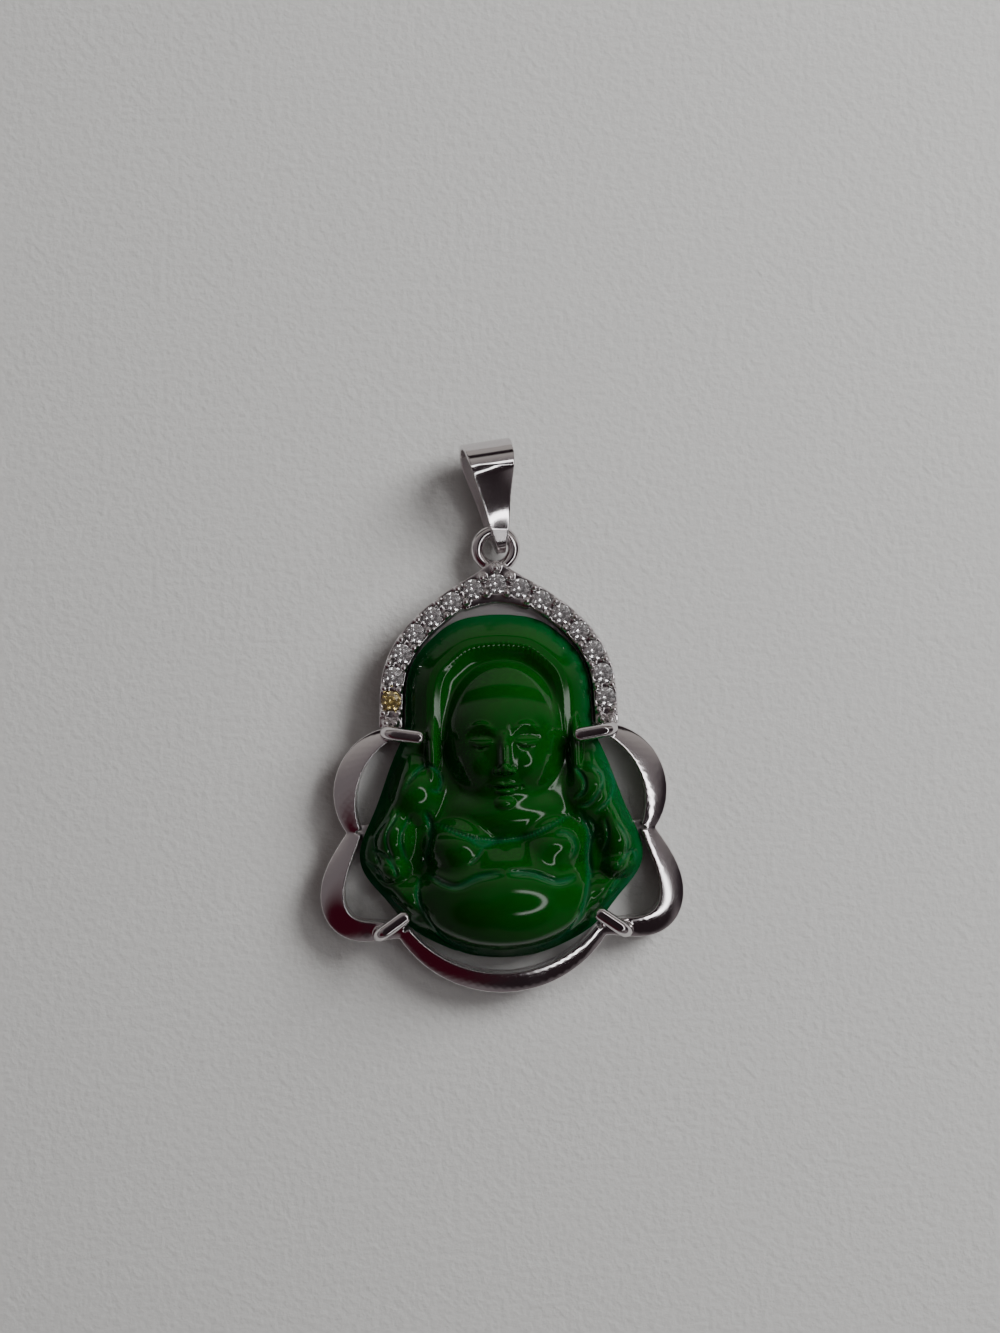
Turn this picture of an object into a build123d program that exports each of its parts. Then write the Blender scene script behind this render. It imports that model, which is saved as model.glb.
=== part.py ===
from build123d import *
import math
import os

# Laughing buddha pendant: a carved jade figure held by four claws in a scalloped white metal setting.
# The setting has an arch of pave stones over the head, and an eye ring at its tip carries the bail.
# Millimetres. The pendant lies on its back: X across, Y up towards the bail, Z out of the face.
# Plan places are measured from the tip of the arch, which stands TIP_Y up from the origin.

# Driving dimensions of the jade
JADE_WIDTH = 18.9
JADE_LENGTH = 22.9
JADE_GIRDLE = 1.0
JADE_RELIEF = 4.0
JADE_EDGE_ROUND = 1.3

# Driving dimensions of the setting
TIP_TO_JADE = 3.6
BOTTOM_GAP = 1.0
RIM_WIDTH = 1.6
RIM_FOOT_WIDTH = 1.35
RIM_END_WIDTH = 0.9
RIM_HEIGHT = 2.4
RIM_FALL = 0.6
RIM_CROWN = 0.07
ARCH_HEIGHT = 2.5
ARCH_STONE_MARGIN = 0.12
ARCH_FOOT = 0.98
SEAT_HEIGHT = 0.95
SEAT_INSET = 0.15
SEAT_LEDGE = 1.3
SEAT_TAB = 0.9
CLAW_DIAMETER = 0.95
CLAW_FACET = 0.07
CLAW_ELBOW_RADIUS = 0.6

# Driving dimensions of the pave stones and their grains
STONE_DIAMETER = 1.3
STONES_A_SIDE = 7
STONE_TABLE_SHARE = 0.57
CROWN_ANGLE = 34.5
PAVILION_ANGLE = 41
GIRDLE_THICKNESS = 0.05
AZURE_DIAMETER = 0.6
GRAIN_DIAMETER = 0.53
GRAIN_OFFSET = 0.51
GRAIN_LIFT = 0.15
TIP_GRAIN_DIAMETER = 0.6
TIP_GRAIN_DROP = 0.55

# Driving dimensions of the eye ring and the bail
RING_DIAMETER = 3.3
RING_WIRE = 0.85
RING_RISE = 0.8
BAIL_WIDTH = 3.3
BAIL_DEPTH = 3.4
BAIL_WALL = 0.35
BAIL_RISE = 5.95
BAIL_DROP = 1.6
BAIL_KNOB = 0.8
BAIL_OFFSET = 0.8
BAIL_SLACK = 0.55
BAIL_SHIFT = 0.14
BAIL_LEAN = 8.5
BAIL_ROLL = 10

# Clearances between pieces
SEAT_CLEARANCE = 0.05
STONE_CLEARANCE = 0.02
CLAW_CLEARANCE = 0.08
BAIL_CLEARANCE = 0.15
JADE_CLEARANCE = 0.1
FLOOR_CLEARANCE = 0.03

# Derived levels and places
jade_back = SEAT_HEIGHT + SEAT_CLEARANCE
girdle_top = jade_back + JADE_GIRDLE
jade_bottom_y = -(TIP_TO_JADE + JADE_LENGTH)
setting_length = TIP_TO_JADE + JADE_LENGTH + BOTTOM_GAP + RIM_FOOT_WIDTH
hook_y = RING_RISE + (RING_DIAMETER - RING_WIRE) / 2
lean = math.radians(BAIL_LEAN)
bail_top_y = hook_y + BAIL_RISE * math.cos(lean) + BAIL_WIDTH / 2 * math.sin(lean)
TIP_Y = (setting_length - bail_top_y) / 2
arch_width = STONE_DIAMETER + 2 * ARCH_STONE_MARGIN
roll = math.radians(BAIL_ROLL)
bail_back = BAIL_DEPTH / 2 - BAIL_OFFSET
ring_level = BAIL_WIDTH / 2 * math.sin(roll) + bail_back * math.cos(roll) + FLOOR_CLEARANCE


# A place in the plan: across as a share of the jade's half width, down as a share of its length
def at(across, down):
    return (across * JADE_WIDTH / 2, -TIP_TO_JADE - down * JADE_LENGTH)


# The plan's plane at a height over the surface that the pendant lies on
def level(height):
    return Plane(origin=(0, TIP_Y, height))


# Right half of the jade's outline, from the top of the hood to the belly: across, down
JADE_OUTLINE = [
    (0, 0),
    (0.1, 0.003),
    (0.211, 0.009),
    (0.352, 0.032),
    (0.455, 0.066),
    (0.56, 0.111),
    (0.634, 0.179),
    (0.655, 0.271),
    (0.665, 0.335),
    (0.72, 0.39),
    (0.793, 0.463),
    (0.888, 0.568),
    (0.972, 0.646),
    (1.0, 0.699),
    (0.962, 0.752),
    (0.835, 0.817),
    (0.666, 0.9),
    (0.43, 0.96),
    (0.21, 0.991),
    (0.1, 0.997),
    (0, 1),
]

# Raised forms of the carving: name, across, down, half width, half length, height, mirrored.
# Widths are shares of the jade's half width, lengths of its length, heights of its relief.
CARVED_FORMS = [
    ("trunk", 0.0, 0.62, 0.84, 0.3, 0.44, False),
    ("head", 0.0, 0.357, 0.46, 0.238, 0.86, False),
    ("nose", 0.0, 0.42, 0.07, 0.045, 0.97, False),
    ("cheek", 0.2, 0.44, 0.16, 0.06, 0.88, True),
    ("belly", 0.0, 0.82, 0.66, 0.2, 1.0, False),
    ("breast", 0.32, 0.672, 0.29, 0.1, 0.76, True),
    ("throat", 0.0, 0.575, 0.48, 0.1, 0.6, False),
    ("ear", 0.5, 0.4, 0.07, 0.125, 0.52, True),
    ("shoulder", 0.62, 0.51, 0.24, 0.12, 0.56, True),
    ("sleeve", 0.78, 0.63, 0.18, 0.12, 0.5, True),
    ("hand", 0.79, 0.735, 0.15, 0.05, 0.48, True),
    ("knee", 0.66, 0.815, 0.25, 0.075, 0.42, True),
    ("shin", 0.48, 0.9, 0.25, 0.045, 0.34, True),
]
GROUND_HEIGHT = 0.25
FORM_ROUNDNESS = 0.62
FORM_BLEND = 6
FIGURE_SHIFT = 0.033

# The hood round the head: distance in from the outline and height, as shares of width and relief
HOOD_PROFILE = [(0, 0.05), (0.05, 0.12), (0.15, 0.34), (0.2, 0.38), (0.25, 0.34), (0.34, 0.2), (0.6, 0.16)]
HOOD_END = 0.36
HOOD_FADE = 0.1


def half_outline(steps):
    """Points along the outline's right half, as straight runs between the table's rows."""
    points = [at(*row) for row in JADE_OUTLINE]
    walk = []
    for (x0, y0), (x1, y1) in zip(points, points[1:]):
        walk += [(x0 + (x1 - x0) * i / steps, y0 + (y1 - y0) * i / steps) for i in range(steps)]
    return walk + [points[-1]]


outline_walk = half_outline(4)


def inward(x, y):
    """Distance from a place to the nearest point of the jade's outline."""
    return min(math.hypot(abs(x) - px, y - py) for px, py in outline_walk)


def width_at(y):
    """Half width of the jade at a height in the plan."""
    points = [at(*row) for row in JADE_OUTLINE]
    for (x0, y0), (x1, y1) in zip(points, points[1:]):
        if y0 >= y >= y1:
            return x0 + (x1 - x0) * (y0 - y) / (y0 - y1)
    return 0


def between(rows, value):
    """The table's second column at a value of its first, on straight lines between rows."""
    for (a0, b0), (a1, b1) in zip(rows, rows[1:]):
        if value <= a1:
            return b0 + (b1 - b0) * (value - a0) / (a1 - a0)
    return rows[-1][1]


def relief(x, y):
    """Height of the carving over its girdle at a place in the plan."""
    if abs(x) >= width_at(y):
        return 0
    across = x / (JADE_WIDTH / 2)
    down = (-TIP_TO_JADE - y) / JADE_LENGTH
    total = GROUND_HEIGHT**FORM_BLEND
    for _, centre, drop, half_width, half_length, height, mirrored in CARVED_FORMS:
        for side in (1, -1) if mirrored else (1,):
            aside = across - FIGURE_SHIFT - side * centre
            away = (aside / half_width) ** 2 + ((down - drop) / half_length) ** 2
            if away < 1:
                total += (height * (1 - away) ** FORM_ROUNDNESS) ** FORM_BLEND
    depth = inward(x, y)
    hood = between(HOOD_PROFILE, depth / (JADE_WIDTH / 2))
    hood *= min(1, max(0, (HOOD_END + HOOD_FADE - down) / HOOD_FADE))
    total += hood**FORM_BLEND
    edge = math.sin(math.pi / 2 * min(1, depth / JADE_EDGE_ROUND))
    return JADE_RELIEF * edge * total ** (1 / FORM_BLEND)


def outline(inset=0):
    """Right half of the jade's outline as one smooth curve, drawn in from the edge by an inset."""
    wide = 1 - inset / (JADE_WIDTH / 2)
    long = 1 - inset / (JADE_LENGTH / 2)
    points = [at(across * wide, 0.5 + (down - 0.5) * long) for across, down in JADE_OUTLINE]
    return Spline(*points)


def jade_face(inset):
    """The jade's plan, its outline drawn in by an inset."""
    with BuildSketch() as plan:
        with BuildLine():
            mirror(outline(inset), about=Plane.YZ)
        make_face()
    return plan.sketch


with BuildLine():
    outline_edge = outline()

# Jade carving: sections across the figure at places down its outline, each as wide as the jade is there
# and crested by a spline over the raised forms, lofted from the hood's top to the belly's foot
RELIEF_COLUMNS = 35
RELIEF_ROWS = 61
OUTLINE_ENDS = 0.02
column_shares = [i / (RELIEF_COLUMNS - 1) for i in range(RELIEF_COLUMNS)]

with BuildPart() as buddha_carving:
    for row in range(RELIEF_ROWS):
        rim = outline_edge @ (OUTLINE_ENDS + (1 - 2 * OUTLINE_ENDS) * row / (RELIEF_ROWS - 1))
        across_plane = Plane(origin=(0, TIP_Y + rim.Y, girdle_top), x_dir=(1, 0, 0), z_dir=(0, -1, 0))
        with BuildSketch(across_plane):
            with BuildLine():
                aside = [rim.X * (2 * share - 1) for share in column_shares]
                heights = [0] + [relief(x, rim.Y) for x in aside[1:-1]] + [0]
                crest = Edge.make_spline(list(zip(aside, heights)), parameters=column_shares)
                add(crest)
                Polyline(crest @ 1, (rim.X, -JADE_GIRDLE), (-rim.X, -JADE_GIRDLE), crest @ 0)
            make_face()
    loft(ruled=True)
print("carving", round(buddha_carving.part.volume, 1), "mm3")

# Arch of pave stones: centre line of the right flank, from under the tip to the foot
ARCH_LINE = [(0, -0.088), (0.164, -0.074), (0.309, -0.039), (0.451, 0.004), (0.574, 0.052), (0.671, 0.108)]
ARCH_LINE += [(0.732, 0.172), (0.754, 0.244), (0.762, 0.325)]
# The pointed tip that covers the eye ring's root, and the plate that fills in under it
ARCH_TIP = [(0.296, -0.08), (0.296, -0.03), (0.22, -0.013), (0.12, -0.027), (0, -0.034)]

with BuildLine():
    arch_flank = Spline(*[at(*row) for row in ARCH_LINE])
stone_pitch = (arch_flank.length - ARCH_FOOT) / (STONES_A_SIDE + 0.5)
print("arch flank", round(arch_flank.length, 2), "stone pitch", round(stone_pitch, 2))


def arch_place(distance, offset=0):
    """A place on the right flank, a distance down from the middle, moved outwards by an offset."""
    point = arch_flank.position_at(distance, position_mode=PositionMode.LENGTH)
    along = arch_flank.tangent_at(distance, position_mode=PositionMode.LENGTH)
    return (point.X - along.Y * offset, point.Y + along.X * offset)


def both_sides(points):
    """The places and their mirror images, a place on the middle line only once."""
    return points + [(-x, y) for x, y in points if x > stone_pitch / 4]


stone_places = both_sides([arch_place(stone_pitch * i) for i in range(STONES_A_SIDE + 1)])
grain_runs = [stone_pitch * (i + 0.5) for i in range(STONES_A_SIDE + 1)]
grain_places = both_sides([arch_place(run, side * GRAIN_OFFSET) for run in grain_runs for side in (1, -1)])
end_run = grain_runs[-1] + GRAIN_DIAMETER * 1.2
grain_places += both_sides([arch_place(end_run, side * GRAIN_OFFSET * 0.6) for side in (1, -1)])

# Rim: five crescent bars, by places down their centre lines
VALLEY = (1.032, 0.628)
LOWER_FOOT = (0.7, 0.921)
UPPER_BAR = [(0.775, 0.342), (1.098, 0.524), VALLEY]
LOWER_BAR = [VALLEY, (1.115, 0.695), (1.18, 0.76), (1.198, 0.825), (1.15, 0.88), (1.05, 0.91), (0.88, 0.917)]


def bar_section(line, share, width):
    """The bar's section across its line: upright walls under a slightly round top that falls outwards."""
    point, along = line @ share, line % share
    across_bar = Plane(origin=(point.X, point.Y + TIP_Y, 0), x_dir=(-along.Y, along.X, 0), z_dir=along)
    with BuildSketch(across_bar) as section:
        with BuildLine():
            fall = RIM_FALL * width / RIM_WIDTH
            inner = (-width / 2, RIM_HEIGHT)
            outer = (width / 2, RIM_HEIGHT - fall)
            Polyline(inner, (-width / 2, 0), (width / 2, 0), outer)
            ThreePointArc(outer, (0, RIM_HEIGHT - fall / 2 + RIM_CROWN), inner)
        make_face()
    return section.sketch


def crescent(line, width):
    """A bar along the line, as wide as said in the middle and narrow at its ends."""
    sections = [bar_section(line, 0, RIM_END_WIDTH), bar_section(line, 0.5, width)]
    sections.append(bar_section(line, 1, RIM_END_WIDTH))
    path = line.moved(Location((0, TIP_Y, 0)))
    with BuildPart() as bar:
        sweep(sections=sections, path=path, multisection=True)
    return bar.part


with BuildLine() as upper_line:
    ThreePointArc(*[at(*row) for row in UPPER_BAR])
with BuildLine() as lower_line:
    Spline(*[at(*row) for row in LOWER_BAR + [LOWER_FOOT]])
with BuildLine() as bottom_line:
    foot = at(*LOWER_FOOT)
    ThreePointArc(foot, (0, jade_bottom_y - BOTTOM_GAP - RIM_FOOT_WIDTH / 2), (-foot[0], foot[1]))
print("rim lines", round(upper_line.wires()[0].length, 1), round(lower_line.wires()[0].length, 1))

# Claws: base and tip of the upper and lower right claw; each rises from the rim and bends over the jade
CLAWS = [((0.781, 0.338), (0.564, 0.352)), ((0.863, 0.922), (0.688, 0.872))]


def claw(base, tip):
    """A round wire up from the base, bent over to the tip, with a flat polished on its top."""
    (bx, by), (tx, ty) = at(*base), at(*tip)
    run = math.hypot(tx - bx, ty - by)
    inx, iny = (tx - bx) / run, (ty - by) / run
    radius = CLAW_DIAMETER / 2
    under = [(run * i / 8 + radius * i / 8, radius * j / 2) for i in range(9) for j in (-1, 0, 1)]
    reach = max(relief(bx + inx * s - iny * t, by + iny * s + inx * t) for s, t in under)
    top = girdle_top + reach + CLAW_CLEARANCE + radius
    upright = Plane(origin=(bx, by + TIP_Y, 0), x_dir=(inx, iny, 0), z_dir=(iny, -inx, 0))
    with BuildPart() as wire:
        with BuildLine(upright) as bend:
            FilletPolyline((0, SEAT_HEIGHT / 2), (0, top), (run, top), radius=CLAW_ELBOW_RADIUS)
        with BuildSketch(Plane(origin=bend.line @ 0, z_dir=bend.line % 0)):
            Circle(radius)
        sweep()
        with Locations((tx, ty + TIP_Y, top)):
            Sphere(radius)
        split(bisect_by=Plane(origin=(0, 0, top + radius - CLAW_FACET)), keep=Keep.BOTTOM)
    return wire.part


valley = at(*VALLEY)
tab_reach = valley[0] - width_at(valley[1]) + SEAT_INSET + SEAT_LEDGE / 2

with BuildPart() as setting:
    # Plate of the arch, with the pointed tip that covers the eye ring's root
    with BuildSketch(level(0)):
        with BuildLine():
            add(arch_flank)
            mirror(about=Plane.YZ)
        trace(line_width=arch_width)
        with BuildLine():
            tip_edge = Polyline((0, 0), *[at(*row) for row in ARCH_TIP])
            mirror(tip_edge, about=Plane.YZ)
        make_face()
    extrude(amount=ARCH_HEIGHT)
    # Rim bars
    add(crescent(upper_line.wires()[0], RIM_WIDTH))
    add(crescent(lower_line.wires()[0], RIM_WIDTH))
    mirror(about=Plane.YZ)
    add(crescent(bottom_line.wires()[0], RIM_FOOT_WIDTH))
    # Ledge that the jade sits on, and the plate that joins it to the arch
    with BuildSketch(level(0)):
        with BuildLine():
            add(arch_flank)
            Line(arch_flank @ 1, (0, (arch_flank @ 1).Y))
            mirror(about=Plane.YZ)
        make_face()
        add(jade_face(SEAT_INSET))
        add(jade_face(SEAT_INSET + SEAT_LEDGE), mode=Mode.SUBTRACT)
        with Locations(valley):
            Rectangle(tab_reach, SEAT_TAB, align=(Align.MAX, Align.CENTER))
        with Locations((-valley[0], valley[1])):
            Rectangle(tab_reach, SEAT_TAB, align=(Align.MIN, Align.CENTER))
    extrude(amount=SEAT_HEIGHT)
    # Room for the jade above its ledge
    with BuildSketch(level(SEAT_HEIGHT)):
        add(jade_face(-JADE_CLEARANCE))
    extrude(amount=ARCH_HEIGHT, mode=Mode.SUBTRACT)
    # Stone seats with their open azures
    with Locations(level(ARCH_HEIGHT)):
        with Locations(*stone_places):
            CounterSinkHole(
                AZURE_DIAMETER / 2,
                STONE_DIAMETER / 2 + STONE_CLEARANCE,
                counter_sink_angle=180 - 2 * PAVILION_ANGLE,
            )
    # Grains raised round the stones
    with Locations(level(ARCH_HEIGHT + GRAIN_LIFT)):
        with Locations(*grain_places):
            Sphere(GRAIN_DIAMETER / 2)
        with Locations((0, -TIP_GRAIN_DROP)):
            Sphere(TIP_GRAIN_DIAMETER / 2)
    # Claws and the eye ring
    for base, tip in CLAWS:
        wire = claw(base, tip)
        add(wire)
        add(mirror(wire, about=Plane.YZ, mode=Mode.PRIVATE))
    with Locations((0, TIP_Y + RING_RISE, ring_level)):
        Torus((RING_DIAMETER - RING_WIRE) / 2, RING_WIRE / 2)
print("setting", round(setting.part.volume, 1), "mm3", len(setting.part.solids()), "solid")

# Facets of a round brilliant: name, first azimuth in degrees, angle from the girdle plane, how many
CROWN_FACETS = [("main", 0, CROWN_ANGLE, 8), ("upper half", 11.25, CROWN_ANGLE + 5.5, 16)]
PAVILION_FACETS = [("main", 0, PAVILION_ANGLE, 8), ("lower half", 11.25, PAVILION_ANGLE + 1.3, 16)]
STAR_ANGLE = 23
stone_radius = STONE_DIAMETER / 2
crown_height = stone_radius * (1 - STONE_TABLE_SHARE) * math.tan(math.radians(CROWN_ANGLE))
pavilion_depth = stone_radius * math.tan(math.radians(PAVILION_ANGLE))
star_reach = stone_radius * STONE_TABLE_SHARE * math.cos(math.pi / 8)


def facet(azimuth, angle, reach, height):
    """The plane of one facet, through the point at a radius and height, its normal facing out."""
    a, tilt = math.radians(azimuth), math.radians(angle)
    normal = (math.sin(tilt) * math.cos(a), math.sin(tilt) * math.sin(a), math.cos(tilt))
    return Plane(origin=(reach * math.cos(a), reach * math.sin(a), height), z_dir=normal)


with BuildPart() as brilliant:
    with Locations((0, 0, -pavilion_depth)):
        whole = pavilion_depth + GIRDLE_THICKNESS + crown_height
        Cylinder(stone_radius, whole, align=(Align.CENTER, Align.CENTER, Align.MIN))
    for _, first, angle, count in CROWN_FACETS:
        for i in range(count):
            azimuth = first + 360 * i / count
            split(bisect_by=facet(azimuth, angle, stone_radius, GIRDLE_THICKNESS), keep=Keep.BOTTOM)
    for i in range(8):
        star = facet(22.5 + 45 * i, STAR_ANGLE, star_reach, GIRDLE_THICKNESS + crown_height)
        split(bisect_by=star, keep=Keep.BOTTOM)
    for _, first, angle, count in PAVILION_FACETS:
        for i in range(count):
            azimuth = first + 360 * i / count
            split(bisect_by=facet(azimuth, 180 - angle, stone_radius, 0), keep=Keep.BOTTOM)
print("brilliant", round(brilliant.part.volume, 3), "mm3", len(brilliant.part.faces()), "faces")

# Bail: a strip round the eye ring's wire, leaning and rolled a little as it lies; its plane is the hook's
across = (math.cos(roll) * math.cos(lean), math.cos(roll) * math.sin(lean), -math.sin(roll))
outward = (math.sin(roll) * math.cos(lean), math.sin(roll) * math.sin(lean), math.cos(roll))
bail_front = Plane(origin=(BAIL_SHIFT, TIP_Y + hook_y, ring_level), x_dir=across, z_dir=outward)
bail_side = Plane(origin=bail_front.origin, x_dir=bail_front.y_dir, z_dir=bail_front.x_dir)
hook_radius = RING_WIRE / 2 + BAIL_CLEARANCE
loop_centre = (BAIL_RISE - BAIL_DEPTH / 2, BAIL_OFFSET)
# Taper of the strip: up from the knob's end as a share of its length, half width as a share of its widest
BAIL_TAPER = [(0, 0.19), (0.08, 0.22), (0.16, 0.32), (0.256, 0.42), (0.45, 0.565), (0.71, 0.84)]
BAIL_TAPER += [(0.85, 0.95), (1, 0.98)]

with BuildPart() as bail:
    with BuildSketch(bail_side):
        with Locations((-BAIL_SLACK, 0)):
            Circle(hook_radius + BAIL_WALL)
        with Locations(loop_centre):
            Circle(BAIL_DEPTH / 2)
        make_hull()
    extrude(amount=BAIL_WIDTH, both=True)
    with BuildSketch(bail_side):
        with Locations((-BAIL_SLACK, 0)):
            Circle(hook_radius + BAIL_WALL)
        with Locations((BAIL_KNOB / 2 - BAIL_DROP, 0)):
            Circle(BAIL_KNOB / 2)
        make_hull()
    extrude(amount=BAIL_WIDTH, both=True)
    with BuildSketch(bail_side):
        with Locations((-BAIL_SLACK, 0)):
            Circle(hook_radius)
        with Locations(loop_centre):
            Circle(BAIL_DEPTH / 2 - BAIL_WALL)
        make_hull()
    extrude(amount=2 * BAIL_WIDTH, both=True, mode=Mode.SUBTRACT)
    with BuildSketch(bail_front):
        with BuildLine():
            length = BAIL_RISE + BAIL_DROP
            taper = [(half * BAIL_WIDTH / 2, share * length - BAIL_DROP) for share, half in BAIL_TAPER]
            Spline(*taper)
            Line((0, taper[0][1]), taper[0])
            Line(taper[-1], (0, taper[-1][1]))
            mirror(about=Plane.YZ)
        make_face()
    extrude(amount=2 * BAIL_DEPTH, both=True, mode=Mode.INTERSECT)
print("bail", round(bail.part.volume, 2), "mm3", len(bail.part.solids()), "solid")

os.makedirs("parts", exist_ok=True)
buddha_carving.part.label = "buddha_carving"
setting.part.label = "setting"
bail.part.label = "bail"
for piece in (buddha_carving.part, setting.part, bail.part):
    export_step(piece, f"parts/{piece.label}.step")
stone_level = level(ARCH_HEIGHT + STONE_CLEARANCE)
for number, (x, y) in enumerate(sorted(stone_places), start=1):
    stone = brilliant.part.moved(Location(stone_level) * Location((x, y, 0)))
    stone.label = f"pave_stone_{number:02d}"
    export_step(stone, f"parts/{stone.label}.step")
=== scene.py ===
# %% [markdown]
# # A carved jade pendant in a pave setting
#
# The pendant is a jade figure held by four claws in a polished white metal setting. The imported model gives
# every size and place. Here each piece gets the form and the surface of the real one.

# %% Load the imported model
import math

import bpy
import numpy as np
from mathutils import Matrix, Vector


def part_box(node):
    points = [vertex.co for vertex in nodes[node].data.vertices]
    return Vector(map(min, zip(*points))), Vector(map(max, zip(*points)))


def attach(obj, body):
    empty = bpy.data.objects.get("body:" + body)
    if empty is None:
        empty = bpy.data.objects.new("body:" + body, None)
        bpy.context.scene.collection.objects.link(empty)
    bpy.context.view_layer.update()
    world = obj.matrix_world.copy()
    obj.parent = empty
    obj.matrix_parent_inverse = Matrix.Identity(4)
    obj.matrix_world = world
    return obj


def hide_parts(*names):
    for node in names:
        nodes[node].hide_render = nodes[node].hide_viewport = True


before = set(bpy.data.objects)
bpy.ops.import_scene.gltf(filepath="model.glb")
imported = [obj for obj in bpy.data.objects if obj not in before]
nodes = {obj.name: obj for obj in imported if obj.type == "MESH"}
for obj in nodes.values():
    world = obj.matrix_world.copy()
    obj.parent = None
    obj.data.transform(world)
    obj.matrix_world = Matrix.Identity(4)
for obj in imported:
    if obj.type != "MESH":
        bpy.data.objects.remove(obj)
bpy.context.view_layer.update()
bpy.ops.object.select_all(action="DESELECT")
MM = 0.001

# %% [markdown]
# ## Helpers
#
# Colours are written as the sRGB hex values that a colour picker shows, and Blender works in linear light, so
# one function turns one into the other. Another adds a node with its settings and links, and the short ones
# after it add the kinds of node that are used most.

# %% Helpers for nodes
MIX_FIRST, MIX_SECOND, MIX_RESULT = 6, 7, 2


def linear(hex_code):
    channels = [int(hex_code[i : i + 2], 16) / 255 for i in (1, 3, 5)]
    return [c / 12.92 if c <= 0.04045 else ((c + 0.055) / 1.055) ** 2.4 for c in channels] + [1]


def add_node(tree, kind, inputs={}, **settings):
    """A node with its settings; an input is linked where its value is another node's socket."""
    made = tree.nodes.new(kind)
    for name, value in settings.items():
        setattr(made, name, value)
    for name, value in inputs.items():
        if isinstance(value, bpy.types.NodeSocket):
            tree.links.new(value, made.inputs[name])
        else:
            made.inputs[name].default_value = value
    return made


def calculated(tree, operation, a, b=0.0):
    return add_node(tree, "ShaderNodeMath", {0: a, 1: b}, operation=operation).outputs[0]


def mapped(tree, value, span, low, high, **settings):
    """What goes from low to high while the value goes along the span."""
    inputs = {"Value": value, "From Min": span[0], "From Max": span[1], "To Min": low, "To Max": high}
    return add_node(tree, "ShaderNodeMapRange", inputs, **settings).outputs[0]


def mixed(tree, factor, first, second):
    """The first colour where the factor is nothing and the second where it is one."""
    inputs = {"Factor": factor, MIX_FIRST: first, MIX_SECOND: second}
    return add_node(tree, "ShaderNodeMix", inputs, data_type="RGBA").outputs[MIX_RESULT]


def noise(tree, place, size, inputs={}):
    """Soft noise whose lumps are about as wide as the size."""
    return add_node(tree, "ShaderNodeTexNoise", {"Vector": place, "Scale": 1 / size, **inputs}).outputs[0]


def bumped(tree, height, strength, distance):
    inputs = {"Height": height, "Strength": strength, "Distance": distance}
    return add_node(tree, "ShaderNodeBump", inputs).outputs[0]


def start_material(name):
    """An empty material, its node tree and the place on the object."""
    material = bpy.data.materials.new(name)
    material.use_nodes = True
    tree = material.node_tree
    tree.nodes.clear()
    return material, tree, add_node(tree, "ShaderNodeTexCoord").outputs["Object"]


def finish_material(material, inputs):
    tree = material.node_tree
    shader = add_node(tree, "ShaderNodeBsdfPrincipled", inputs)
    add_node(tree, "ShaderNodeOutputMaterial", {"Surface": shader.outputs[0]})
    print("material", material.name, "of", len(tree.nodes), "nodes")
    return material


# %% [markdown]
# Operators act on the selection, so one function makes a single object the selected and active one. The others
# apply a modifier and read or move the points of a mesh.

# %% Helpers for meshes
def select_only(piece):
    bpy.ops.object.select_all(action="DESELECT")
    piece.select_set(True)
    bpy.context.view_layer.objects.active = piece


def apply_modifier(piece, kind, **settings):
    select_only(piece)
    modifier = piece.modifiers.new(kind.title(), kind)
    for name, value in settings.items():
        setattr(modifier, name, value)
    bpy.ops.object.modifier_apply(modifier=modifier.name)


def points_of(mesh):
    """The mesh's points, one row of x, y and z each."""
    points = np.empty(len(mesh.vertices) * 3)
    mesh.vertices.foreach_get("co", points)
    return points.reshape(-1, 3)


def move_points(mesh, points):
    mesh.vertices.foreach_set("co", points.ravel())
    mesh.update()


# %% [markdown]
# ## Camera and floor
#
# The photograph looks straight down from about 190 mm at a pendant that lies on a pale cloth. Its frame is
# 66.5 by 88.6 mm, because the pave stones, which are 1.3 mm across, are 19.5 pixels wide in it. The pendant
# is turned a little in the picture, so the camera is rolled by that angle.

# %% Camera and floor
FRAME_HEIGHT = 88.6 * MM
CAMERA_HEIGHT = 190 * MM
CAMERA_CENTRE = (0.15 * MM, 3.25 * MM)
CAMERA_ROLL = math.radians(-1.1)
CAMERA_NEAREST = 1 * MM
FACE_LEVEL = 2.5 * MM
SENSOR_HEIGHT = 24

bpy.ops.object.camera_add(location=(*CAMERA_CENTRE, CAMERA_HEIGHT), rotation=(0, 0, CAMERA_ROLL))
camera = bpy.context.object
camera.data.sensor_fit = "VERTICAL"
camera.data.sensor_height = SENSOR_HEIGHT
camera.data.lens = SENSOR_HEIGHT * (CAMERA_HEIGHT - FACE_LEVEL) / FRAME_HEIGHT
camera.data.clip_start = CAMERA_NEAREST
bpy.context.scene.camera = camera

FLOOR_SIZE = 3.0
FLOOR_LEVEL = -0.01 * MM
bpy.ops.mesh.primitive_plane_add(size=FLOOR_SIZE, location=(0, 0, FLOOR_LEVEL))
floor = bpy.context.object
floor.name = "floor"
print("lens", round(camera.data.lens, 1), "mm")

# %% [markdown]
# ## Light
#
# Mirror polished metal shows little but what stands round it, so the room matters more than the lamps. The
# pattern of the room is drawn in a flat map of the directions, in which straight up is the centre and the
# horizon is the circle of radius one. X and Y in the map are those of the pendant.

# %% The map of directions
world = bpy.data.worlds.new("soft_studio")
bpy.context.scene.world = world
world.use_nodes = True
room = world.node_tree
room.nodes.clear()
direction = add_node(room, "ShaderNodeTexCoord").outputs["Generated"]
split_direction = add_node(room, "ShaderNodeSeparateXYZ", {0: direction})
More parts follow.
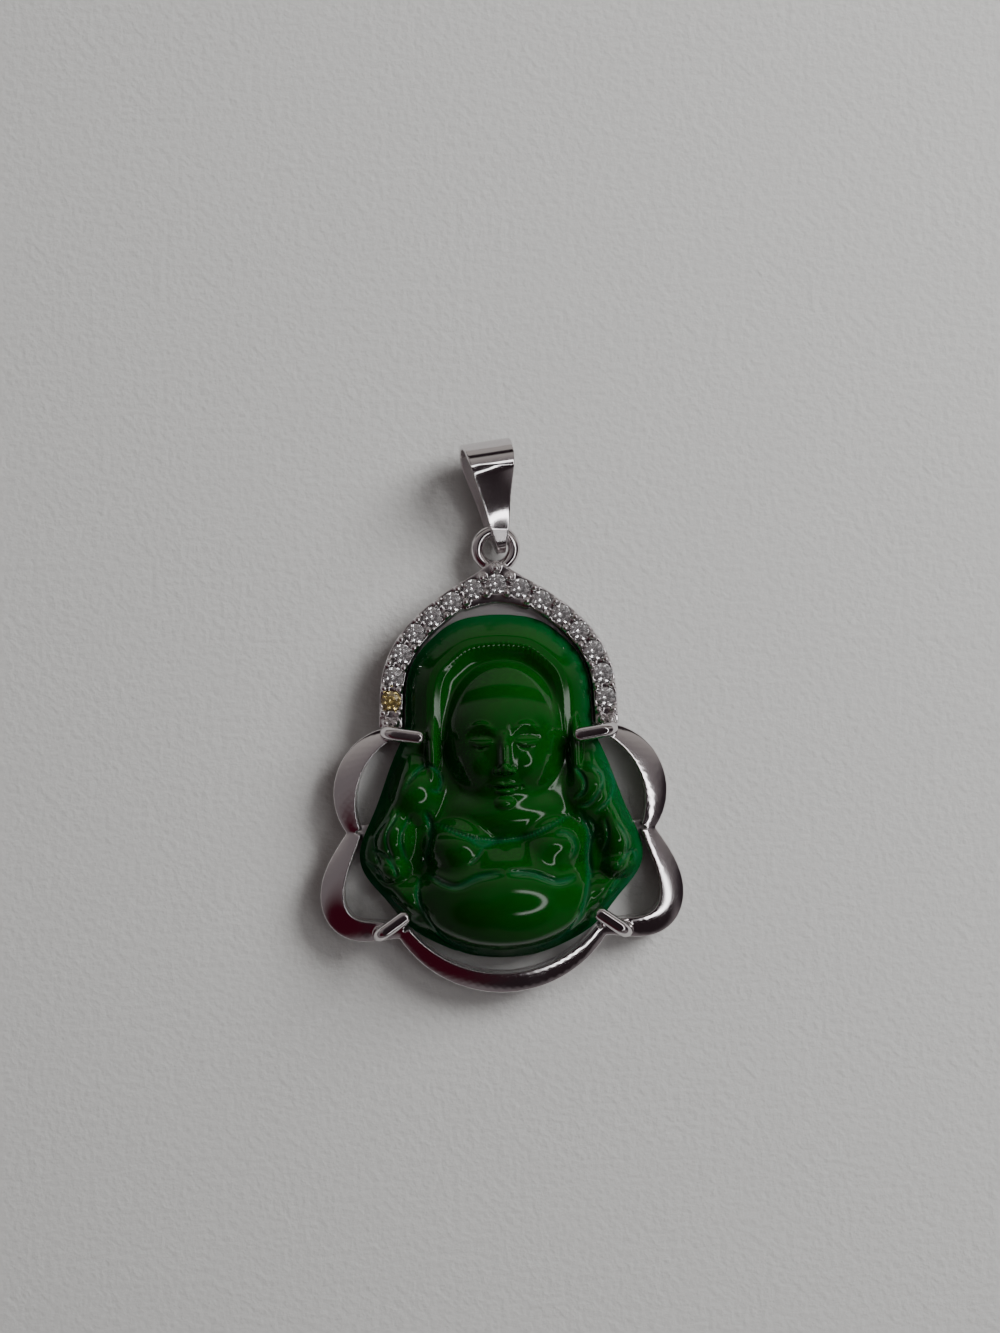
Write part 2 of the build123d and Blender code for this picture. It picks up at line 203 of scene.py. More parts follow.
# A little more than one, so that nothing is divided by zero straight down
JUST_OVER_ONE = 1.0001
rise = calculated(room, "ADD", split_direction.outputs["Z"], JUST_OVER_ONE)
map_x = calculated(room, "DIVIDE", split_direction.outputs["X"], rise)
map_y = calculated(room, "DIVIDE", split_direction.outputs["Y"], rise)


def map_distance(x, y, stretch=1.0):
    """How far each direction is from a place in the flat map, with the steps up and down stretched."""
    dx = calculated(room, "SUBTRACT", map_x, x)
    dy = calculated(room, "MULTIPLY", calculated(room, "SUBTRACT", map_y, y), stretch)
    squares = [calculated(room, "MULTIPLY", d, d) for d in (dx, dy)]
    return calculated(room, "SQRT", calculated(room, "ADD", *squares))


def fade(value, start, end):
    """One at the start of a span and nothing at its end, smoothly."""
    return mapped(room, value, (start, end), 1.0, 0.0, interpolation_type="SMOOTHSTEP")


def distance_from_line(value, line):
    return calculated(room, "ABSOLUTE", calculated(room, "SUBTRACT", value, line))


print("map of", len(room.nodes), "nodes")

# %% [markdown]
# The room is dim, and paler towards the top of the picture. A dark beam crosses its top. Three soft round
# patches lie over that: a dark one on the right, a dark one overhead, a little below the map's centre, and a
# dark red one low on the left.

# %% The room's colours
LOW_COLOUR, HIGH_COLOUR = "#8F8789", "#DAD5D0"
LOW_END, HIGH_START = 0.05, 0.45
BEAM_PLACE = 0.52
BEAM_HALF = 0.07
BEAM_END = 0.13
BEAM_COLOUR = "#33292E"
PATCHES = [
    # what it is, its place in the map, the radius where it starts to fade, the one where it ends, its colour
    ("dark side", (0.68, -0.05), 0.14, 0.34, "#3B3137"),
    ("dark overhead", (0.12, -0.26), 0.26, 0.4, "#352B2F"),
    ("dark red low on the left", (-0.3, -0.3), 0.17, 0.36, "#4A1022"),
]

room_colour = mixed(room, fade(map_y, HIGH_START, LOW_END), linear(LOW_COLOUR), linear(HIGH_COLOUR))
beam = fade(distance_from_line(map_y, BEAM_PLACE), BEAM_HALF, BEAM_END)
room_colour = mixed(room, beam, room_colour, linear(BEAM_COLOUR))
for patch_name, place, start, end, hex_code in PATCHES:
    room_colour = mixed(room, fade(map_distance(*place), start, end), room_colour, linear(hex_code))
    print("patch", patch_name, "at", place)

# %% [markdown]
# A bright window stands on the right. It is a thin bent line in the map, the right half of a flattened ring,
# and it draws the white line along the right bars. A soft panel on the same side, which the metal doesn't
# show, lights the cloth and throws the shadow to the left.

# %% Window and panel
ROOM_LIGHT = 0.6
WINDOW_LIGHT = 5.5
WINDOW_CENTRE = (0.08, -0.09)
WINDOW_RADIUS = 0.265
WINDOW_STRETCH = 1.45
WINDOW_HALF = 0.022
WINDOW_EDGE = 0.015
WINDOW_SIDE_FADE = 0.06

ring = distance_from_line(map_distance(*WINDOW_CENTRE, WINDOW_STRETCH), WINDOW_RADIUS)
right_half = fade(map_x, WINDOW_CENTRE[0] + WINDOW_SIDE_FADE, WINDOW_CENTRE[0] - WINDOW_SIDE_FADE)
window = calculated(room, "MULTIPLY", fade(ring, WINDOW_HALF, WINDOW_HALF + WINDOW_EDGE), right_half)
room_colour = mixed(room, window, room_colour, linear("#FFFFFF"))
glow = calculated(room, "ADD", calculated(room, "MULTIPLY", window, WINDOW_LIGHT), ROOM_LIGHT)
background = add_node(room, "ShaderNodeBackground", {"Color": room_colour, "Strength": glow})
add_node(room, "ShaderNodeOutputWorld", {"Surface": background.outputs[0]})

PANEL_PLACE = (0.28, 0.18, 0.2)
PANEL_TURN = (math.radians(-33), math.radians(47), 0)
PANEL_SIZE = 0.2
PANEL_WATTS = 2.6
bpy.ops.object.light_add(type="AREA", location=PANEL_PLACE)
side_panel = bpy.context.object
side_panel.data.size = PANEL_SIZE
side_panel.data.energy = PANEL_WATTS
side_panel.visible_glossy = False
side_panel.rotation_euler = PANEL_TURN
print("room light", ROOM_LIGHT, "window", WINDOW_LIGHT, "panel", PANEL_WATTS, "W")

# %% [markdown]
# ## Surfaces
#
# Rhodium is a hard bright plating over silver. Polishing leaves hair scratches and a few tiny pits, which break
# up its reflections. Shade is painted into the colour in the corners round the grains, darker where an
# occlusion node finds them hidden from light. The low levels, which a polishing wheel hardly reaches, stay
# satin.

# %% Rhodium plated silver
METAL_COLOUR, CORNER_SHADE_COLOUR = "#DDD8D9", "#4B4240"
SCRATCH_SPACING = 0.12 * MM
SCRATCH_STRETCH = 0.12
SCRATCH_TURN = 0.6
PIT_SPACING = 0.45 * MM
PIT_SPAN = (0.05, 0.16)
CLOUD_SIZE = 2.5 * MM
CLOUD_SPAN = (0.35, 0.7)
POLISH = (0.07, 0.16)
SATIN = 0.38
SATIN_LEVELS = (1.0 * MM, 1.4 * MM)
# Painted shade in the corners: how far the occlusion looks, its samples, its span and the least share of the
# bright colour
CORNER_SHADE_REACH = 0.12 * MM
CORNER_SHADE_SAMPLES = 4
CORNER_SHADE_SPAN = (0.2, 0.6)
LEAST_UNSHADED = 0.3


def rhodium():
    material, tree, place = start_material("rhodium_plated_silver")
    stretch = {"Vector": place, "Scale": (1, SCRATCH_STRETCH, 1), "Rotation": (0, 0, SCRATCH_TURN)}
    stretched = add_node(tree, "ShaderNodeMapping", stretch).outputs[0]
    scratches = noise(tree, stretched, SCRATCH_SPACING, {"Detail": 3})
    pits = add_node(tree, "ShaderNodeTexVoronoi", {"Vector": place, "Scale": 1 / PIT_SPACING})
    pit_depth = mapped(tree, pits.outputs["Distance"], PIT_SPAN, -1.0, 0.0)
    height = calculated(tree, "ADD", scratches, pit_depth)
    cloudy = mapped(tree, noise(tree, place, CLOUD_SIZE, {"Detail": 3}), CLOUD_SPAN, *POLISH)
    level = add_node(tree, "ShaderNodeSeparateXYZ", {0: place}).outputs["Z"]
    satin = mapped(tree, level, SATIN_LEVELS, SATIN, 0.0)
    # Painted shade: the colour darkens to a dark grey in the corners round the grains, where little light
    # reaches
    corners = add_node(tree, "ShaderNodeAmbientOcclusion", {"Distance": CORNER_SHADE_REACH}, samples=CORNER_SHADE_SAMPLES)
    unshaded = mapped(tree, corners.outputs["AO"], CORNER_SHADE_SPAN, LEAST_UNSHADED, 1.0)
    surface = {
        "Base Color": mixed(tree, unshaded, linear(CORNER_SHADE_COLOUR), linear(METAL_COLOUR)),
        "Metallic": 1.0,
        "Roughness": calculated(tree, "ADD", cloudy, satin),
        "Normal": bumped(tree, height, strength=0.18, distance=0.006 * MM),
    }
    return finish_material(material, surface)


rhodium_plate = rhodium()

# %% [markdown]
# Jade is a stone that light enters: thin edges and cut grooves look paler and bluer than the deep green of its
# thick parts. The carving keeps how thin it is at each point as an attribute.

# %% Polished green jade
JADE_DARK, JADE_PALE, JADE_THIN = "#012B02", "#023E05", "#084A30"
JADE_CLOUD_SIZE = 5 * MM
JADE_GRAIN_SIZE = 0.5 * MM


def jade():
    material, tree, place = start_material("polished_green_jade")
    thin = add_node(tree, "ShaderNodeAttribute", attribute_name="thinness").outputs["Fac"]
    clouds = noise(tree, place, JADE_CLOUD_SIZE, {"Detail": 4, "Distortion": 0.6})
    body = mixed(tree, clouds, linear(JADE_DARK), linear(JADE_PALE))
    grain = noise(tree, place, JADE_GRAIN_SIZE, {"Detail": 3})
    surface = {
        "Base Color": mixed(tree, thin, body, linear(JADE_THIN)),
        "Roughness": 0.09,
        "IOR": 1.6,
        "Specular IOR Level": 0.27,
        "Subsurface Weight": 0.35,
        "Subsurface Radius": (0.15, 1.0, 0.3),
        "Subsurface Scale": 0.6 * MM,
        "Normal": bumped(tree, grain, strength=0.06, distance=0.01 * MM),
    }
    return finish_material(material, surface)


polished_jade = jade()

# %% [markdown]
# Cubic zirconia bends light more than glass, which makes its facets sparkle. A worn stone is a little hazy, so
# a small part of its light is scattered.

# %% Cubic zirconia, clear and tarnished
HAZE_SIZE = 0.4 * MM
HAZE_ROUGHNESS = 0.03


def zirconia(name, hex_code, roughness):
    material, tree, place = start_material(name)
    haze = noise(tree, place, HAZE_SIZE)
    surface = {
        "Base Color": linear(hex_code),
        "Roughness": mapped(tree, haze, (0.0, 1.0), roughness, roughness + HAZE_ROUGHNESS),
        "IOR": 2.15,
        "Transmission Weight": 0.95,
    }
    return finish_material(material, surface)


clear_zirconia = zirconia("clear_zirconia", "#FFFFFF", 0.02)
tarnished_zirconia = zirconia("tarnished_zirconia", "#D9C27A", 0.06)

# %% [markdown]
# The floor is a plain pale cloth with a fine nap.

# %% Pale cloth floor
CLOTH_COLOUR = "#BCBCBA"
NAP_SIZE = 0.5 * MM


def cloth():
    material, tree, place = start_material("pale_cloth")
    nap = noise(tree, place, NAP_SIZE, {"Detail": 4})
    surface = {
        "Base Color": linear(CLOTH_COLOUR),
        "Roughness": 0.95,
        "Normal": bumped(tree, nap, strength=0.4, distance=0.2 * MM),
    }
    return finish_material(material, surface)


floor.data.materials.append(cloth())

# %% [markdown]
# ## Cast and polished metal
#
# The setting is one casting, and polishing has rounded all its edges. The model has them sharp, so a copy of
# it is remeshed with small voxels and smoothed. That rounds every edge by about a tenth of a millimetre and
# melts the grains, claws and bars into one skin, as solder and polish do. The bail is treated the same way.

# %% Setting and bail
MOST_TRIANGLES = 185000
MERGE_DISTANCE = 0.0001 * MM
SETTING_VOXEL = 0.055 * MM
SETTING_ROUNDS = 3
BAIL_VOXEL = 0.045 * MM
BAIL_ROUNDS = 6
SMOOTHING = 0.5
LAST_SMOOTHING = 0.4
LAST_ROUNDS = 2


def polished_copy(node, voxel, rounds):
    """A rounded copy of a node's mesh that takes the node's place."""
    select_only(nodes[node])
    bpy.ops.object.duplicate()
    piece = bpy.context.object
    piece.name = f"polished_{node}"
    bpy.ops.object.mode_set(mode="EDIT")
    bpy.ops.mesh.select_all(action="SELECT")
    bpy.ops.mesh.remove_doubles(threshold=MERGE_DISTANCE)
    bpy.ops.object.mode_set(mode="OBJECT")
    apply_modifier(piece, "REMESH", mode="VOXEL", voxel_size=voxel)
    apply_modifier(piece, "SMOOTH", factor=SMOOTHING, iterations=rounds)
    share_kept = MOST_TRIANGLES / (2 * len(piece.data.polygons))
    if share_kept < 1:
        apply_modifier(piece, "DECIMATE", ratio=share_kept)
        apply_modifier(piece, "SMOOTH", factor=LAST_SMOOTHING, iterations=LAST_ROUNDS)
    bpy.ops.object.shade_smooth()
    piece.data.materials.clear()
    piece.data.materials.append(rhodium_plate)
    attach(piece, "root")
    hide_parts(node)
    print(piece.name, len(piece.data.polygons), "faces")
    return piece


polished_copy("setting", SETTING_VOXEL, SETTING_ROUNDS)
bail = polished_copy("bail", BAIL_VOXEL, BAIL_ROUNDS)

# %% [markdown]
# The bail's front leaf is bent by hand. It is a little hollow along its length and twisted, deeper to the
# right of its middle line, which leans to the left on its way up. Nothing moves at the leaf's two ends or on
# the levels behind it.

# %% The bail's front leaf
HOLLOW = 0.17 * MM
TWIST = 0.18
LEAF_FOOT = 12.4 * MM
LEAF_TOP = 16.6 * MM
LEAF_LEVEL = 1.1 * MM
LEAF_LEVEL_FADE = 0.4 * MM
LEAF_LEAN = 0.15
LEAF_MIDDLE = 0.14 * MM

leaf = points_of(bail.data)
share = np.clip((leaf[:, 1] - LEAF_FOOT) / (LEAF_TOP - LEAF_FOOT), 0, 1)
aside = leaf[:, 0] + LEAF_LEAN * (leaf[:, 1] - LEAF_FOOT) - LEAF_MIDDLE
front = np.clip((leaf[:, 2] - LEAF_LEVEL) / LEAF_LEVEL_FADE, 0, 1)
sunk = (HOLLOW + TWIST * aside) * np.sin(math.pi * share) * front
leaf[:, 2] -= sunk
move_points(bail.data, leaf)
print("leaf sunk by up to", round(sunk.max() / MM, 2), "mm")

# %% [markdown]
# ## The carving
#
# A carver starts from a flat backed slab, cuts its outline, leaves the big forms standing and then engraves
# the lines. The same order works here. The outline is read from the model's mesh, at the level where the
# slab's wall ends. Its reach from a place near the middle is kept for each direction and smoothed a little.

# %% The slab's outline
slab_low, slab_high = (np.array(corner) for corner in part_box("buddha_carving"))
HALF_WIDTH = (slab_high[0] - slab_low[0]) / 2
LENGTH = slab_high[1] - slab_low[1]
GIRDLE = 1.0 * MM
EDGE_TOLERANCE = 0.002 * MM
HEART_DOWN = 0.55
TURN_STEPS = 720
SMOOTH_TURNS = 9

corners = points_of(nodes["buddha_carving"].data)
edge = corners[np.abs(corners[:, 2] - slab_low[2] - GIRDLE) < EDGE_TOLERANCE][:, :2]
heart = np.array([0, slab_high[1] - HEART_DOWN * LENGTH])
edge_angle = np.arctan2(*(edge - heart).T[::-1])
edge_reach = np.hypot(*(edge - heart).T)
turns = np.linspace(-math.pi, math.pi, TURN_STEPS + 1)
middle = (turns[1:] + turns[:-1]) / 2
bins = np.digitize(edge_angle, turns) - 1
rim = [np.flatnonzero(bins == i) for i in range(TURN_STEPS)]
rim = np.array([found[edge_reach[found].argmax()] for found in rim if len(found)])
reach = np.interp(middle, edge_angle[rim], edge_reach[rim], period=2 * math.pi)
wrapped = np.concatenate([reach[-SMOOTH_TURNS:], reach, reach[:SMOOTH_TURNS]])
kernel = np.hanning(SMOOTH_TURNS + 2)[1:-1]
reach = np.convolve(wrapped, kernel / kernel.sum(), mode="same")[SMOOTH_TURNS:-SMOOTH_TURNS]
least, most = reach.min() / MM, reach.max() / MM
print("outline from", len(rim), "points, between", round(least, 2), "and", round(most, 2), "mm out")

# %% [markdown]
# A fine square grid is bent into a disc and stretched to the outline. From here on places are shares: across is
# a share of half the width, and down is a share of the length from the hood's top. Depth is how far in from
# the outline a point lies.

# %% The grid
GRID = 300
GRID_SPAN = 2
FAR = 1.0

bpy.ops.mesh.primitive_grid_add(x_subdivisions=GRID, y_subdivisions=GRID, size=GRID_SPAN)
carving = bpy.context.object
carving.name = "jade_figure"
grid = points_of(carving.data)
disc_x = grid[:, 0] * np.sqrt(1 - grid[:, 1] ** 2 / 2)
disc_y = grid[:, 1] * np.sqrt(1 - grid[:, 0] ** 2 / 2)
turn = np.arctan2(disc_y, disc_x)
outward = np.hypot(disc_x, disc_y) * np.interp(turn, middle, reach, period=2 * math.pi)
x = heart[0] + outward * np.cos(turn)
y = heart[1] + outward * np.sin(turn)
across = x / HALF_WIDTH
down = (slab_high[1] - y) / LENGTH
depth = np.full(len(x), FAR)
for rim_x, rim_y in zip(heart[0] + reach * np.cos(middle), heart[1] + reach * np.sin(middle)):
    depth = np.minimum(depth, np.hypot(x - rim_x, y - rim_y))
print("grid", len(x), "points, deepest", round(depth.max() / MM, 2), "mm in")

# %% [markdown]
# ### Big forms
#
# Each form is a dome over an ellipse. They are joined by a power sum, which keeps each dome's height and
# leaves a soft valley where two meet. The hood is a ridge that follows the outline, and its section is a short
# table of depths and heights.

# %% Big forms
FORMS = [
    # name, across, down, half width, half length, height, mirrored
    ("trunk", 0.0, 0.62, 0.84, 0.3, 0.44, False),
    ("head", 0.0, 0.357, 0.46, 0.238, 0.86, False),
    ("belly", 0.0, 0.82, 0.66, 0.2, 1.0, False),
    ("breast", 0.32, 0.672, 0.29, 0.1, 0.76, True),
    ("throat", 0.0, 0.575, 0.48, 0.1, 0.6, False),
    ("ear", 0.5, 0.4, 0.07, 0.125, 0.52, True),
    ("shoulder", 0.62, 0.51, 0.24, 0.12, 0.56, True),
    ("sleeve", 0.78, 0.63, 0.18, 0.12, 0.5, True),
    ("hand", 0.79, 0.735, 0.15, 0.05, 0.48, True),
    ("knee", 0.66, 0.815, 0.25, 0.075, 0.42, True),
    ("shin", 0.48, 0.9, 0.25, 0.045, 0.34, True),
]
HOOD = [
    # depth as a share of half the width, height as a share of the relief
    (-0.01, 0.05),
    (0, 0.05),
    (0.05, 0.12),
    (0.15, 0.34),
    (0.2, 0.38),
    (0.25, 0.34),
    (0.34, 0.2),
    (0.6, 0.16),
]
HOOD_END = 0.36
HOOD_FADE = 0.1
RELIEF = 4.0 * MM
GROUND = 0.25
ROUNDNESS = 0.62
BLEND = 6
SHIFT = 0.033
EDGE_ROUND = 1.3 * MM

total = np.full(len(x), GROUND**BLEND)
for _, centre, drop, half_width, half_length, height, mirrored in FORMS:
    for side in (1, -1) if mirrored else (1,):
        away = ((across - SHIFT - side * centre) / half_width) ** 2 + ((down - drop) / half_length) ** 2
        total += (height * np.clip(1 - away, 0, 1) ** ROUNDNESS) ** BLEND
hood_left = np.clip((HOOD_END + HOOD_FADE - down) / HOOD_FADE, 0, 1)
total += (np.interp(depth / HALF_WIDTH, *zip(*HOOD)) * hood_left) ** BLEND
edge_fall = np.sin(math.pi / 2 * np.clip(depth / EDGE_ROUND, 0, 1))
relief = RELIEF * edge_fall * total ** (1 / BLEND)
print(len(FORMS), "forms, highest", round(relief.max() / MM, 2), "mm over the slab's wall")

# %% [markdown]
# ### Engraved lines
#
# A stroke is a curve through a few places, with a width and a height in millimetres: below nothing it cuts a
# groove, above it leaves a ridge, and it fades out at both ends. A dome is a low bump, or a dent where its
# height is below nothing.

# %% Strokes and domes
STROKE_STEPS = 48


def curve_through(places):
    """Points on a smooth curve through the places."""
    places = np.array(places, float)
    padded = np.vstack([2 * places[0] - places[1], places, 2 * places[-1] - places[-2]])
    spans = len(places) - 1
    walk = []
    for t in np.linspace(0, spans, STROKE_STEPS):
        i = min(int(t), spans - 1)
        f = t - i
        a, b, c, d = padded[i : i + 4]
        bend = 2 * a - 5 * b + 4 * c - d
        twist = 3 * (b - c) + d - a
        walk.append(0.5 * (2 * b + (c - a) * f + bend * f**2 + twist * f**3))
    return np.array(walk)


def stroke(places, width, height, end_share):
    """Height in metres that a stroke adds at each point; width and height are in mm."""
    nearest = np.full(len(x), FAR)
    step = np.zeros(len(x))
    for i, (a, d) in enumerate(curve_through(places)):
        gap = np.hypot((across - a) * HALF_WIDTH, (down - d) * LENGTH)
        closer = gap < nearest
        nearest[closer] = gap[closer]
        step[closer] = i / (STROKE_STEPS - 1)
    ends = np.clip(np.minimum(step, 1 - step) / end_share, 0, 1)
    return height * MM * np.exp(-((nearest / (width * MM)) ** 2)) * ends


def dome(place, half_width, half_length, height, power):
    """Height in metres that a dome adds at each point; its half sizes and height are in mm."""
    steps_across = (across - place[0]) * HALF_WIDTH / (half_width * MM)
    steps_down = (down - place[1]) * LENGTH / (half_length * MM)
    return height * MM * np.clip(1 - (steps_across**2 + steps_down**2), 0, 1) ** power


print("strokes of", STROKE_STEPS, "steps")

# %% [markdown]
# The grooves are the robe's edges, the folds of the sleeves, the fingers and the lines under the chest and
# round the belly.

# %% Grooves
GROOVE_END_SHARE = 0.2
GROOVES = [
    # across and down of each place, width mm, height mm
    ([(-0.53, 0.59), (-0.14, 0.65), (0.18, 0.643), (0.53, 0.576)], 0.16, -0.2),
    ([(-0.53, 0.56), (-0.49, 0.626), (-0.55, 0.74)], 0.2, -0.22),
    ([(0.55, 0.568), (0.62, 0.635), (0.61, 0.7), (0.635, 0.783)], 0.2, -0.22),
    ([(-0.24, 0.64), (-0.115, 0.667), (0.03, 0.64)], 0.14, -0.16),
    ([(-0.115, 0.667), (-0.17, 0.7), (-0.23, 0.72)], 0.12, -0.12),
    ([(0.37, 0.635), (0.46, 0.637), (0.515, 0.672), (0.48, 0.716)], 0.2, -0.12),
    ([(-0.55, 0.74), (-0.4, 0.774), (-0.296, 0.78), (-0.148, 0.754), (0.028, 0.742)], 0.2, -0.24),
    ([(0.028, 0.742), (0.21, 0.748), (0.39, 0.774), (0.53, 0.76)], 0.2, -0.24),
    ([(-0.57, 0.745), (-0.585, 0.82), (-0.5, 0.895), (-0.34, 0.955), (0, 0.985)], 0.18, -0.22),
    ([(0.61, 0.72), (0.6, 0.8), (0.52, 0.89), (0.34, 0.955), (0, 0.985)], 0.18, -0.22),
    (
        [(-0.69, 0.515), (-0.593, 0.457), (-0.494, 0.434), (-0.412, 0.47), (-0.437, 0.508), (-0.51, 0.5)],
        0.14,
        -0.18,
    ),
    ([(0.494, 0.434), (0.586, 0.477), (0.586, 0.515), (0.515, 0.539)], 0.14, -0.18),
    ([(0.605, 0.434), (0.713, 0.47), (0.695, 0.515), (0.62, 0.553), (0.533, 0.56)], 0.14, -0.18),
    ([(0.73, 0.44), (0.8, 0.486), (0.767, 0.539), (0.656, 0.582)], 0.14, -0.18),
    ([(-0.62, 0.57), (-0.7, 0.64), (-0.66, 0.72)], 0.12, -0.13),
    ([(-0.7, 0.56), (-0.8, 0.64), (-0.74, 0.73)], 0.12, -0.13),
    ([(-0.76, 0.57), (-0.89, 0.65), (-0.84, 0.74)], 0.12, -0.13),
    ([(0.607, 0.59), (0.66, 0.626), (0.62, 0.67)], 0.12, -0.13),
    ([(0.73, 0.59), (0.75, 0.65), (0.7, 0.71)], 0.12, -0.13),
    ([(0.8, 0.6), (0.88, 0.66), (0.86, 0.72)], 0.12, -0.13),
    ([(-0.924, 0.678), (-0.818, 0.693), (-0.748, 0.731), (-0.735, 0.76)], 0.13, -0.15),
    ([(-0.98, 0.707), (-0.871, 0.738), (-0.818, 0.774)], 0.13, -0.15),
    ([(0.783, 0.748), (0.854, 0.716), (0.91, 0.693), (0.945, 0.707), (0.93, 0.731)], 0.13, -0.15),
    ([(0.748, 0.82), (0.8, 0.783), (0.892, 0.745)], 0.13, -0.15),
    ([(-0.96, 0.745), (-0.818, 0.812), (-0.62, 0.879)], 0.14, -0.15),
    ([(0.96, 0.745), (0.83, 0.812), (0.66, 0.879)], 0.14, -0.15),
]
carved = np.zeros(len(x))
for places, width, height in GROOVES:
    carved += stroke(places, width, height, GROOVE_END_SHARE)
print(len(GROOVES), "grooves, deepest", round(-carved.min() / MM, 2), "mm")

# %% [markdown]
# ### The face
#
# The face is a plain calm one, with the eyes at half the head's height, the nose halfway from there to the chin
# and the mouth a third below the nose. Its places are shares of the head's half width, and of the length from
# the head's middle to the chin.

# %% The face
HEAD_MIDDLE = (SHIFT, 0.362)
HEAD_HALF_WIDTH = 0.44
HEAD_HALF_LENGTH = 0.205
FACE_DOMES = [
    # name, place, half width mm, half length mm, height mm, power, mirrored
    ("socket", (0.36, -0.02), 1.1, 0.62, -0.24, 1.5, True),
    ("closed lid", (0.36, 0.03), 0.86, 0.42, 0.3, 0.9, True),
    ("nostril wing", (0.125, 0.44), 0.3, 0.27, 0.34, 0.8, True),
    ("cheek", (0.5, 0.4), 1.25, 1.3, 0.22, 1.4, True),
    ("lip corner", (0.27, 0.665), 0.2, 0.16, -0.1, 1.2, True),
    ("nose tip", (0, 0.42), 0.48, 0.42, 0.55, 0.8, False),
    ("lower lip", (0, 0.735), 0.66, 0.24, 0.24, 0.9, False),
    ("chin", (0, 0.89), 0.75, 0.5, 0.26, 1.1, False),
]
UPPER_LIP = [(-0.24, 0.655), (-0.08, 0.628), (0, 0.645), (0.08, 0.628), (0.24, 0.655)]
FACE_STROKES = [
    # name, places, width mm, height mm, share that each end takes to fade, mirrored
    ("lashes", [(0.17, 0.05), (0.36, 0.115), (0.56, 0.045)], 0.09, -0.17, 0.3, True),
    ("brow", [(0.12, -0.13), (0.36, -0.22), (0.62, -0.11)], 0.18, 0.13, 0.35, True),
    ("bridge", [(0, -0.14), (0, 0.1), (0, 0.3), (0, 0.43)], 0.3, 0.42, 0.35, False),
    ("upper lip", UPPER_LIP, 0.15, 0.2, 0.25, False),
    ("mouth", [(-0.27, 0.66), (0, 0.682), (0.27, 0.66)], 0.07, -0.17, 0.25, False),
]


def on_head(place, side):
    return (HEAD_MIDDLE[0] + side * place[0] * HEAD_HALF_WIDTH, HEAD_MIDDLE[1] + place[1] * HEAD_HALF_LENGTH)


face = np.zeros(len(x))
for _, place, half_width, half_length, height, power, mirrored in FACE_DOMES:
    for side in (1, -1) if mirrored else (1,):
        face += dome(on_head(place, side), half_width, half_length, height, power)
for _, places, width, height, end_share, mirrored in FACE_STROKES:
    for side in (1, -1) if mirrored else (1,):
        face += stroke([on_head(place, side) for place in places], width, height, end_share)
print("face between", round(face.min() / MM, 2), "and", round(face.max() / MM, 2), "mm")

# %% [markdown]
# ### The beaded band and the whole relief
#
# A raised cord with short cuts across it runs along the top of the hood, and a small mark lies under the
# belly. Everything engraved fades out towards the stone's rounded edge.

# %% Band, mark and relief
BAND_DEPTH = 2.1 * MM
BAND_HALF = 0.16 * MM
BAND_HEIGHT = 0.025 * MM
BAND_END = 0.16
BAND_FADE = 0.03
BEAD_HEIGHT = 0.02 * MM
BEAD_SPACING = 0.34 * MM
BAND_CENTRE_DOWN = 0.33
BAND_RADIUS = 0.6 * HALF_WIDTH
MARK_PLACE = (0.014, 0.972)
MARK_HALF_WIDTH, MARK_HALF_LENGTH, MARK_HEIGHT, MARK_POWER = 0.85, 0.26, 0.12, 0.8
EDGE_CLEAR = 0.4

along = np.arctan2(x, y - (slab_high[1] - BAND_CENTRE_DOWN * LENGTH)) * BAND_RADIUS
band_left = np.clip((BAND_END - down) / BAND_FADE, 0, 1)
in_band = np.exp(-(((depth - BAND_DEPTH) / BAND_HALF) ** 2)) * band_left
beads = in_band * (BAND_HEIGHT + BEAD_HEIGHT * np.cos(2 * math.pi * along / BEAD_SPACING))
mark = dome(MARK_PLACE, MARK_HALF_WIDTH, MARK_HALF_LENGTH, MARK_HEIGHT, MARK_POWER)
engraved = carved + face + beads + mark
relief += engraved * np.clip(edge_fall * (1 + EDGE_CLEAR) - EDGE_CLEAR, 0, 1)
relief = np.clip(relief, 0, slab_high[2] - slab_low[2] - GIRDLE)
print("relief up to", round(relief.max() / MM, 2), "mm")

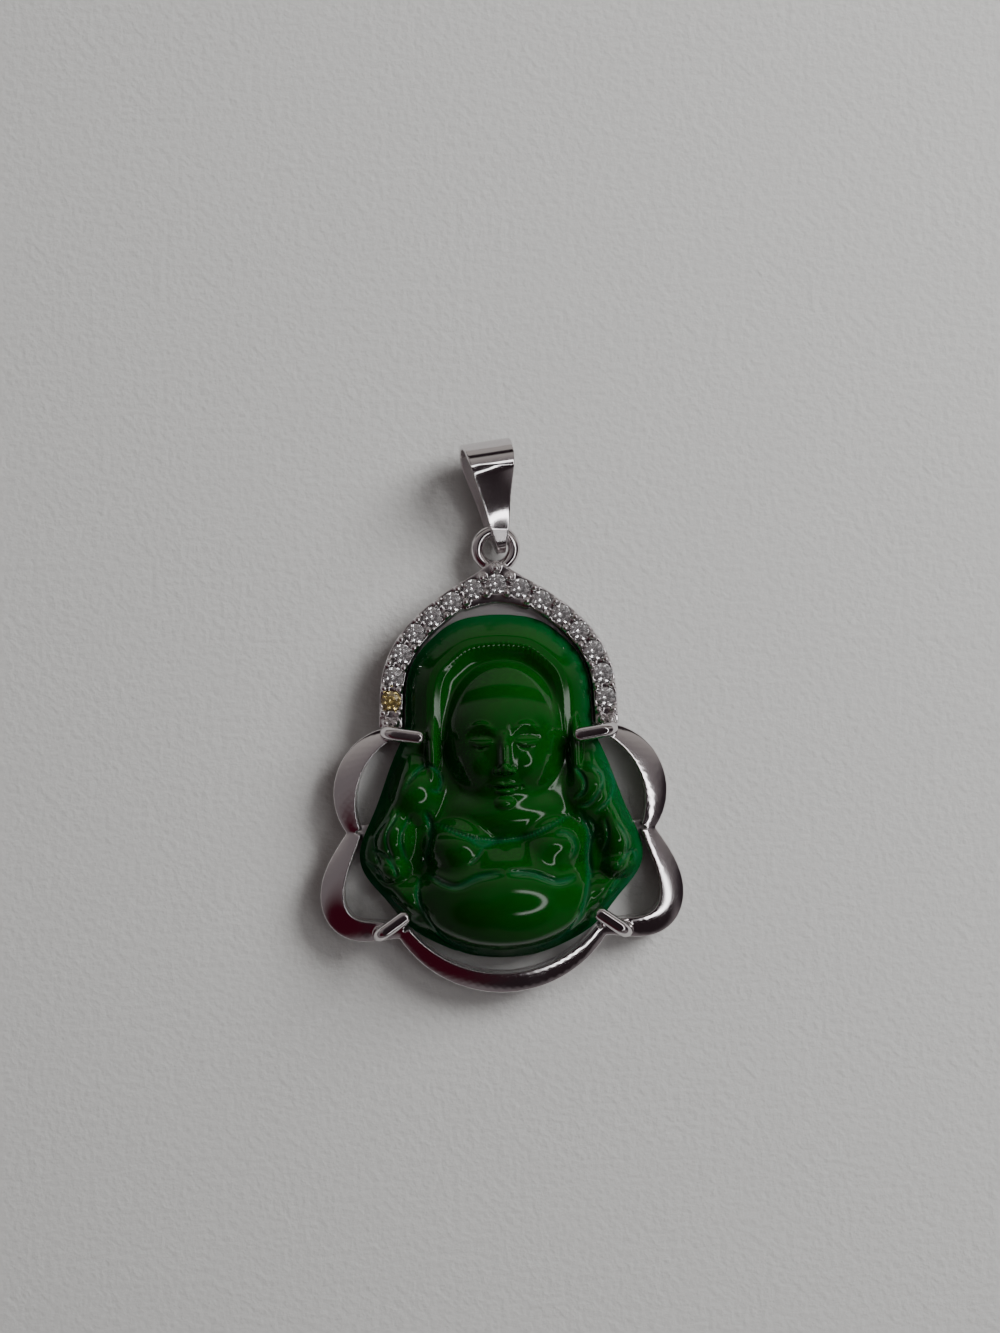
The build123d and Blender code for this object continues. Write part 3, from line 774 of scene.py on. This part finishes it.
# %% [markdown]
# ### The finished stone
#
# The grid's points are moved to their heights, its open edge is pulled down to the back in two steps, which
# leaves a small bevel there, and the back is closed. The stone counts as thin near its outline and in its
# grooves.

# %% The finished stone
THIN_REACH = 0.7 * MM
THIN_AT_EDGE = 0.35
THIN_IN_GROOVE = 0.5
FULL_GROOVE = 0.2 * MM
BACK_BEVEL = 0.12 * MM
SHARPEST_SMOOTH = math.radians(50)

move_points(carving.data, np.column_stack([x, y, slab_low[2] + GIRDLE + relief]))
thinness = np.exp(-((depth / THIN_REACH) ** 2)) * THIN_AT_EDGE
thinness += np.clip(-carved / FULL_GROOVE, 0, 1) * THIN_IN_GROOVE
layer = carving.data.attributes.new("thinness", "FLOAT", "POINT")
layer.data.foreach_set("value", np.clip(thinness, 0, 1).astype(np.float32))

select_only(carving)
bpy.ops.object.mode_set(mode="EDIT")
bpy.ops.mesh.select_mode(type="EDGE")
bpy.ops.mesh.select_all(action="DESELECT")
bpy.ops.mesh.select_non_manifold()
bpy.ops.mesh.extrude_region_move(TRANSFORM_OT_translate={"value": (0, 0, BACK_BEVEL - GIRDLE)})
bpy.ops.mesh.extrude_region_move(TRANSFORM_OT_translate={"value": (0, 0, -BACK_BEVEL)})
shrink = 1 - BACK_BEVEL / HALF_WIDTH
bpy.ops.transform.resize(value=(shrink, shrink, 1), center_override=(0, float(heart[1]), 0))
bpy.ops.mesh.edge_face_add()
bpy.ops.mesh.select_all(action="SELECT")
bpy.ops.mesh.normals_make_consistent(inside=False)
bpy.ops.object.mode_set(mode="OBJECT")
bpy.ops.object.shade_smooth_by_angle(angle=SHARPEST_SMOOTH)
carving.data.materials.append(polished_jade)
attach(carving, "root")
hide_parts("buddha_carving")
print(carving.name, len(carving.data.polygons), "faces")

# %% [markdown]
# ## Pave stones
#
# The stones are cut in the model, facet by facet, so they keep their shape and only get their material. One,
# at the lower left end of the arch, is tarnished yellow.

# %% Pave stones
stones = {name: node for name, node in nodes.items() if name.startswith("pave_stone")}
for name, stone in stones.items():
    stone.data.materials.clear()
    stone.data.materials.append(tarnished_zirconia if name.endswith("_01") else clear_zirconia)
print("stones", len(stones))
